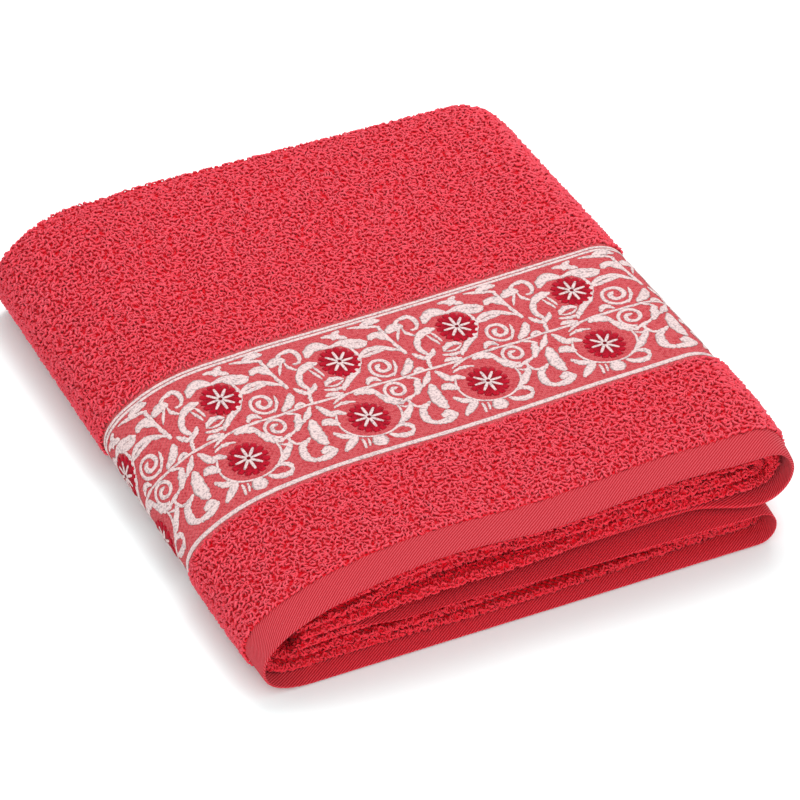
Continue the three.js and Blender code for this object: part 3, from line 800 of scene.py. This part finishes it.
def leaf_parts():
    """All leaves and stems of one repeat."""
    corners = np.array([row[:4] for row in CHART])
    widest, blunt = np.array([row[4:] for row in CHART]).T[..., None]
    t = np.linspace(0, 1, LEAF_RINGS)[None, :]
    swell = np.clip(np.sin(np.pi * (0.04 + 0.92 * t)), 0, 1) ** blunt
    base = 0.03 + 0.012 * (np.arange(len(CHART)) % 5)  # leaves that cross never share a height
    return ribbons(bezier(corners, LEAF_RINGS), widest * swell, RISE, base, ragged=0.42)


def spiral_parts():
    """Spirals: the radius shrinks evenly with the angle from the outer turn to the middle."""
    t = np.linspace(0, 1, SPIRAL_RINGS)
    lines = []
    for centre, radius, turns, way, start, _ in SPIRALS:
        angle = math.radians(start) + way * 2 * np.pi * turns * t
        reach = radius * (1 - SPIRAL_CLOSES * t)
        turned = np.stack([reach * np.cos(angle), SPIRAL_TALLER * reach * np.sin(angle)], axis=-1)
        lines.append(centre + turned)
    width = np.array([row[5] for row in SPIRALS])[:, None] * (0.8 + 0.4 * t)
    return ribbons(np.array(lines), width, RISE, np.full(len(SPIRALS), 0.045), ragged=0.2)


def rosette_rays(count, inner, outer, width, blunt, rise, base):
    """Straight ribbons from the middle outwards, on an ellipse that is a fifth longer along Y."""
    angle = 2 * np.pi * np.arange(count) / count
    reach = np.linspace(inner, outer, RAY_RINGS)[None, :]
    ray = np.stack([reach * np.cos(angle)[:, None], 1.2 * reach * np.sin(angle)[:, None]], axis=-1)
    both = np.concatenate([ray + ROSETTE_LOW, ray + ROSETTE_HIGH])
    t = np.linspace(0, 1, RAY_RINGS)[None, :]
    swell = np.repeat(np.clip(np.sin(np.pi * (0.1 + 0.82 * t)), 0, 1) ** blunt, 2 * count, axis=0)
    return ribbons(both, width * swell, rise, np.full(2 * count, base))


# %% The woven pieces: leaves, spirals, and rosettes of rays, petals and hearts
border_white = []
for label, parts in (("leaves", leaf_parts()), ("spirals", spiral_parts()),
                     ("rays", rosette_rays(8, 0.6, 6.3, 1.6, 0.35, 0.22, 0.36))):
    border_white.append(strips("border_" + label, on_border(*repeats(*parts)))[0])
petals = on_border(*repeats(*rosette_rays(15, 1.2, 8.9, 3.9, 0.3, 0.34, 0.06)))
petal_shade = np.linspace(0, 1, petals.shape[1])[:, None] * np.ones(petals.shape[:3])
border_red = [
    strips("border_petals", petals, petal_shade)[0],
    strips("border_hearts", on_border(*repeats(*rosette_rays(3, -0.8, 0.8, 1.5, 0.5, 0.16, 0.52))))[0],
]


# %% Straight lines along both edges of the border
def edge_line(y, width):
    """One long ribbon along the path at a given distance from the hem edge."""
    along = np.linspace(*PATTERN_ENDS, LINE_RINGS)
    return ribbons(np.stack([along, np.full_like(along, y)], axis=-1)[None],
                   np.full((1, LINE_RINGS), width), 0.22, np.array([0.03]), ragged=0.12)


for label, (y, width) in EDGE_LINES.items():
    border_white.append(strips("border_line_" + label, on_border(*edge_line(y, width)))[0])

# %% [markdown]
# ## Finishes
# Three node groups are shared by the materials. "Yarn fleck" varies a colour a little from
# place to place, as dyed cotton does. "Plain weave" gives the height of crossing threads, and
# "Twill" the slanting ribs of the hem, which run on around its turned edge. The groups
# give only colours, masks and normals, and each material has its own Principled shader.
# A "tint" written into the meshes does the rest, and most of it is painted light. Loops are painted deep
# red at the root as shade between them, paler at the tip as light on them, and darker in the folds where
# shade falls. The hem takes lit colours on the top and shaded copies where it is folded in, and its ribs
# are painted paler on their crests and darker in their troughs. Petals grow lighter towards their ends, as
# the pattern has them.


# %% Node group helpers
def new_group(name, inputs, outputs):
    group = bpy.data.node_groups.new(name, "ShaderNodeTree")
    for label, kind, value in inputs:
        socket = group.interface.new_socket(label, in_out="INPUT", socket_type=kind)
        if value is not None:
            socket.default_value = value
    for label, kind in outputs:
        group.interface.new_socket(label, in_out="OUTPUT", socket_type=kind)
    return group, group.nodes.new("NodeGroupInput"), group.nodes.new("NodeGroupOutput")


def math_node(group, operation, first, second=None):
    node = group.nodes.new("ShaderNodeMath")
    node.operation = operation
    for socket, value in zip(node.inputs, (first, second)):
        if value is None:
            continue
        if isinstance(value, (int, float)):
            socket.default_value = value
        else:
            group.links.new(value, socket)
    return node.outputs[0]


def mix_colours(group, factor, first, second):
    node = group.nodes.new("ShaderNodeMix")
    node.data_type = "RGBA"
    values = ((node.inputs["Factor"], factor), (node.inputs[6], first), (node.inputs[7], second))
    for socket, value in values:
        if hasattr(value, "is_output"):
            group.links.new(value, socket)
        else:
            socket.default_value = value
    return node.outputs[2]


# %% Yarn fleck: a colour that varies with small noise
fleck, fleck_in, fleck_out = new_group(
    "Yarn fleck",
    [("Position", "NodeSocketVector", None), ("Colour", "NodeSocketColor", (1, 1, 1, 1)),
     ("Fleck colour", "NodeSocketColor", (0.5, 0.5, 0.5, 1)), ("Scale", "NodeSocketFloat", 900.0),
     ("Amount", "NodeSocketFloat", 0.3)],
    [("Colour", "NodeSocketColor")])
noise = fleck.nodes.new("ShaderNodeTexNoise")
noise.inputs["Detail"].default_value = 2.0
fleck.links.new(fleck_in.outputs["Position"], noise.inputs["Vector"])
fleck.links.new(fleck_in.outputs["Scale"], noise.inputs["Scale"])
sharp = math_node(fleck, "MULTIPLY", math_node(fleck, "SUBTRACT", noise.outputs["Fac"], 0.46), 5.0)
sharp = math_node(fleck, "MINIMUM", math_node(fleck, "MAXIMUM", sharp, 0.0), 1.0)
amount = math_node(fleck, "MULTIPLY", sharp, fleck_in.outputs["Amount"])
fleck.links.new(mix_colours(fleck, amount, fleck_in.outputs["Colour"], fleck_in.outputs["Fleck colour"]),
                fleck_out.inputs["Colour"])

# %% Plain weave: height of threads crossing over and under, from the cloth's own map
weave, weave_in, weave_out = new_group(
    "Plain weave",
    [("Map", "NodeSocketVector", None), ("Thread pitch", "NodeSocketFloat", 0.0009),
     ("Depth", "NodeSocketFloat", 0.0001)],
    [("Normal", "NodeSocketVector"), ("Height", "NodeSocketFloat")])
split = weave.nodes.new("ShaderNodeSeparateXYZ")
weave.links.new(weave_in.outputs["Map"], split.inputs[0])
per_thread = math_node(weave, "DIVIDE", math.pi, weave_in.outputs["Thread pitch"])
waves = [math_node(weave, "SINE", math_node(weave, "MULTIPLY", split.outputs[axis], per_thread))
         for axis in (0, 1)]
weave_height = math_node(weave, "MULTIPLY", waves[0], waves[1])
bump = weave.nodes.new("ShaderNodeBump")
weave.links.new(weave_height, bump.inputs["Height"])
weave.links.new(weave_in.outputs["Depth"], bump.inputs["Distance"])
weave.links.new(bump.outputs["Normal"], weave_out.inputs["Normal"])
weave.links.new(weave_height, weave_out.inputs["Height"])

# %% Twill: slanting ribs that run on around the turned edge
twill, twill_in, twill_out = new_group(
    "Twill",
    [("Map", "NodeSocketVector", None), ("Rib pitch", "NodeSocketFloat", 0.0018),
     ("Slope", "NodeSocketFloat", 1.35), ("Depth", "NodeSocketFloat", 0.00012),
     ("Wander", "NodeSocketFloat", 0.0007)],
    [("Normal", "NodeSocketVector"), ("Height", "NodeSocketFloat")])
split = twill.nodes.new("ShaderNodeSeparateXYZ")
twill.links.new(twill_in.outputs["Map"], split.inputs[0])
slant = math_node(twill, "SUBTRACT", split.outputs[0],
                  math_node(twill, "MULTIPLY", split.outputs[1], twill_in.outputs["Slope"]))
uneven = twill.nodes.new("ShaderNodeTexNoise")
uneven.inputs["Scale"].default_value = 420.0
twill.links.new(twill_in.outputs["Map"], uneven.inputs["Vector"])
slant = math_node(twill, "ADD", slant,
                  math_node(twill, "MULTIPLY", uneven.outputs["Fac"], twill_in.outputs["Wander"]))
per_rib = math_node(twill, "DIVIDE", 2 * math.pi, twill_in.outputs["Rib pitch"])
rib = math_node(twill, "SINE", math_node(twill, "MULTIPLY", slant, per_rib))
bump = twill.nodes.new("ShaderNodeBump")
twill.links.new(rib, bump.inputs["Height"])
twill.links.new(twill_in.outputs["Depth"], bump.inputs["Distance"])
twill.links.new(bump.outputs["Normal"], twill_out.inputs["Normal"])
twill.links.new(rib, twill_out.inputs["Height"])
print("node groups:", [group.name for group in bpy.data.node_groups])


# %% Colours of the yarns, as screen colours
def linear(red, green, blue):
    """Screen colour, 0 to 255, to the linear values that shaders use."""
    value = np.array([red, green, blue]) / 255
    return (*np.where(value <= 0.04045, value / 12.92, ((value + 0.055) / 1.055) ** 2.4), 1.0)


# the pile's pair is painted shade and light: the root colour stands for shade between the loops, the tip
# colour for light on their tops
PILE_ROOT_SHADE, PILE_TIP_LIGHT = linear(226, 8, 34), linear(222, 89, 103)
GROUND_DEEP, GROUND_COLOUR = linear(210, 5, 24), linear(220, 46, 62)
BAND_COLOUR, BAND_DEEP = linear(196, 82, 87), linear(174, 48, 56)
WHITE_YARN, GREY_YARN = linear(212, 190, 188), linear(140, 126, 130)
HEART, PETAL_END, CRIMSON_DEEP = linear(106, 3, 19), linear(178, 17, 40), linear(84, 2, 12)
# the hem's colours are painted light and shade: lit colours for the top, brighter and redder shaded copies
# where it is folded in, each as a rib crest and a rib trough
HEM_CREST_LIT, HEM_TROUGH_LIT = linear(202, 77, 86), linear(160, 10, 24)
HEM_CREST_SHADED, HEM_TROUGH_SHADED = linear(228, 66, 80), linear(186, 6, 22)


def cloth_material(name, sheen=0.12):
    """Matt cotton: hardly any shine, and a little pink sheen where fibres stand up."""
    material = bpy.data.materials.new(name)
    material.use_nodes = True
    shader = material.node_tree.nodes["Principled BSDF"]
    shader.inputs["Roughness"].default_value = 0.95
    shader.inputs["Specular IOR Level"].default_value = 0.08
    shader.inputs["Sheen Weight"].default_value = sheen
    shader.inputs["Sheen Roughness"].default_value = 0.4
    shader.inputs["Sheen Tint"].default_value = linear(255, 190, 195)
    return material, material.node_tree, shader


def use_group(tree, group, **values):
    node = tree.nodes.new("ShaderNodeGroup")
    node.node_tree = group
    for label, value in values.items():
        socket = node.inputs[label.replace("_", " ")]
        if hasattr(value, "is_output"):
            tree.links.new(value, socket)
        else:
            socket.default_value = value
    return node


def coordinates(tree, output="Object"):
    if output == "Object":
        return tree.nodes.new("ShaderNodeTexCoord").outputs["Object"]
    node = tree.nodes.new("ShaderNodeUVMap")
    node.uv_map = output
    return node.outputs["UV"]


pile_material, tree, shader = cloth_material("terry pile")
# the tint mixes the painted shade colour at the root with the painted light colour at the tip
tint = tree.nodes.new("ShaderNodeAttribute")
tint.attribute_name = "tint"
tree.links.new(mix_colours(tree, tint.outputs["Fac"], PILE_ROOT_SHADE, PILE_TIP_LIGHT), shader.inputs["Base Color"])

ground_material, tree, shader = cloth_material("terry ground")
flecks = use_group(tree, fleck, Position=coordinates(tree), Colour=GROUND_DEEP, Fleck_colour=GROUND_COLOUR,
                   Scale=700.0, Amount=0.85)
tree.links.new(flecks.outputs["Colour"], shader.inputs["Base Color"])
woven = use_group(tree, weave, Map=coordinates(tree, "weave"), Thread_pitch=0.0016, Depth=0.0006)
tree.links.new(woven.outputs["Normal"], shader.inputs["Normal"])

band_material, tree, shader = cloth_material("border ground")
flecks = use_group(tree, fleck, Position=coordinates(tree), Colour=BAND_COLOUR, Fleck_colour=BAND_DEEP,
                   Scale=800.0, Amount=0.9)
tree.links.new(flecks.outputs["Colour"], shader.inputs["Base Color"])
woven = use_group(tree, weave, Map=coordinates(tree, "weave"), Thread_pitch=0.0011, Depth=0.00035)
tree.links.new(woven.outputs["Normal"], shader.inputs["Normal"])

hem_material, tree, shader = cloth_material("hem twill")
ribs = use_group(tree, twill, Map=coordinates(tree, "weave"))
# painted highlight and shade on the ribs: the rib height mixes the pale crest colours on the ribs' tops
# with the dark trough colours between them
mask = math_node(tree, "MULTIPLY", math_node(tree, "ADD", ribs.outputs["Height"], 1.0), 0.5)
# painted light: lit colours where the hem lies in the light on the top, shaded copies where it is folded in
lit_or_shaded = tree.nodes.new("ShaderNodeAttribute")
lit_or_shaded.attribute_name = "tint"
rib_colours = [mix_colours(tree, lit_or_shaded.outputs["Fac"], *pair)
               for pair in ((HEM_TROUGH_SHADED, HEM_TROUGH_LIT), (HEM_CREST_SHADED, HEM_CREST_LIT))]
tree.links.new(mix_colours(tree, mask, *rib_colours), shader.inputs["Base Color"])
tree.links.new(ribs.outputs["Normal"], shader.inputs["Normal"])


def yarn_material(name, colour, fleck_colour, amount):
    material, tree, shader = cloth_material(name, sheen=0.1)
    flecks = use_group(tree, fleck, Position=coordinates(tree), Colour=colour, Fleck_colour=fleck_colour,
                       Scale=1100.0, Amount=amount)
    tree.links.new(flecks.outputs["Colour"], shader.inputs["Base Color"])
    return material


white_material = yarn_material("white yarn", WHITE_YARN, GREY_YARN, 0.75)
crimson_material, tree, shader = cloth_material("crimson yarn", sheen=0.1)
outwards = tree.nodes.new("ShaderNodeAttribute")
outwards.attribute_name = "tint"
flecks = use_group(tree, fleck, Position=coordinates(tree), Fleck_colour=CRIMSON_DEEP, Scale=1100.0,
                   Colour=mix_colours(tree, outwards.outputs["Fac"], HEART, PETAL_END), Amount=0.6)
tree.links.new(flecks.outputs["Colour"], shader.inputs["Base Color"])

# %% Map of the cloth, and which part of the ground is hem, border or terry
rings, sides = section_y.shape
quad_count = (rings - 1) * sides
corner_ring, corner_side = np.divmod(ground_corners, sides)
# the second length follows the outline from the hem's upper face: past half way it counts back
step = np.hypot(np.roll(section_y, -1, 1) - section_y, np.roll(section_depth, -1, 1) - section_depth)
around = np.cumsum(step, axis=1) - step
around[:, sides // 2:] -= step.sum(axis=1, keepdims=True)
cloth_map = np.stack([stations[corner_ring], around[corner_ring, corner_side]], -1)
weave_map = ground.data.uv_layers.new(name="weave")
weave_map.uv.foreach_set("vector", (cloth_map / 1000).astype(np.float32).ravel())

side_of_quad = np.tile(np.arange(sides), rings - 1)
band_start = HEM_POINTS + FRONT_POINTS
# the turned edge of the hem has one point more than steps, and two more lie below it
is_hem = (side_of_quad < HEM_POINTS) | (side_of_quad >= sides - HEM_TURN_STEPS - 3)
is_band = (side_of_quad >= band_start - 1) & (side_of_quad < band_start + BAND_POINTS)
slot_number = np.concatenate([np.where(is_hem, 2, np.where(is_band, 1, 0)), [0, 0]])
for material in (ground_material, band_material, hem_material):
    ground.data.materials.append(material)
ground.data.polygons.foreach_set("material_index", slot_number.astype(np.int32))
finishes = ((pile, pile_material), (border_white, white_material), (border_red, crimson_material))
for pieces, material in finishes:
    for piece in pieces:
        piece.data.materials.append(material)
print("hem, border and terry quads:", int(is_hem.sum()), int(is_band.sum()))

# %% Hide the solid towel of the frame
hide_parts("towel")

# %% [markdown]
# ## Light, floor and camera
# The towel is seen on white, in soft light from high up, with faint shadows beside it. A pale
# floor and an even world give the white, and two large lamps, one behind and one in front,
# give the shading between the loops. Red cloth throws red light on what lies beside it, so the
# floor's colour leans a little to blue-green, which leaves the shadows grey.

# %% Floor, world and lamps
FLOOR_SIZE, FLOOR_COLOUR, WORLD_STRENGTH = 3.0, (0.88, 0.95, 0.95, 1), 0.92
floor_mesh = bpy.data.meshes.new("floor")
half = FLOOR_SIZE / 2
floor_mesh.from_pydata([(-half, -half, 0), (half, -half, 0), (half, half, 0), (-half, half, 0)], [],
                       [(0, 1, 2, 3)])
floor = bpy.data.objects.new("floor", floor_mesh)
bpy.context.scene.collection.objects.link(floor)
floor_material = bpy.data.materials.new("pale floor")
floor_material.use_nodes = True
floor_shader = floor_material.node_tree.nodes["Principled BSDF"]
floor_shader.inputs["Base Color"].default_value = FLOOR_COLOUR
floor_shader.inputs["Roughness"].default_value = 0.9
floor_mesh.materials.append(floor_material)

world = bpy.data.worlds.new("studio")
world.use_nodes = True
background = world.node_tree.nodes["Background"]
background.inputs["Color"].default_value = (1, 1, 1, 1)
background.inputs["Strength"].default_value = WORLD_STRENGTH
bpy.context.scene.world = world


def lamp(name, x, y, z, size, power):
    """Square lamp at a place in metres, turned towards the middle of the floor."""
    data = bpy.data.lights.new(name, "AREA")
    data.size, data.energy = size, power
    light = bpy.data.objects.new(name, data)
    light.location = (x, y, z)
    light.rotation_euler = (math.atan2(math.hypot(x, y), z), 0, math.atan2(x, -y))
    bpy.context.scene.collection.objects.link(light)
    return light


lamps = [lamp("key lamp", 0.4, 0.5, 1.3, size=0.8, power=12.0),
         lamp("fill lamp", -0.5, -1.5, 0.5, size=2.0, power=20.0)]
print("lamps:", [light.name for light in lamps])

# %% Camera, as the photograph shows the stack
AZIMUTH, ELEVATION = math.radians(-25.5), math.radians(37.06)
TARGET, DISTANCE, LENS = np.array([0.0168 - origin[0] / 1000, 0.0054, 0.0]), 1.912, 192.2
backwards = np.array([math.sin(AZIMUTH) * math.cos(ELEVATION), -math.cos(AZIMUTH) * math.cos(ELEVATION),
                      math.sin(ELEVATION)])
camera_data = bpy.data.cameras.new("camera")
camera_data.lens, camera_data.sensor_width = LENS, 36.0
camera_data.clip_end = 20.0
camera = bpy.data.objects.new("camera", camera_data)
camera.location = TARGET + DISTANCE * backwards
camera.rotation_euler = (math.pi / 2 - ELEVATION, 0, AZIMUTH)
bpy.context.scene.collection.objects.link(camera)
bpy.context.scene.camera = camera
bpy.context.scene.view_settings.view_transform = "Standard"
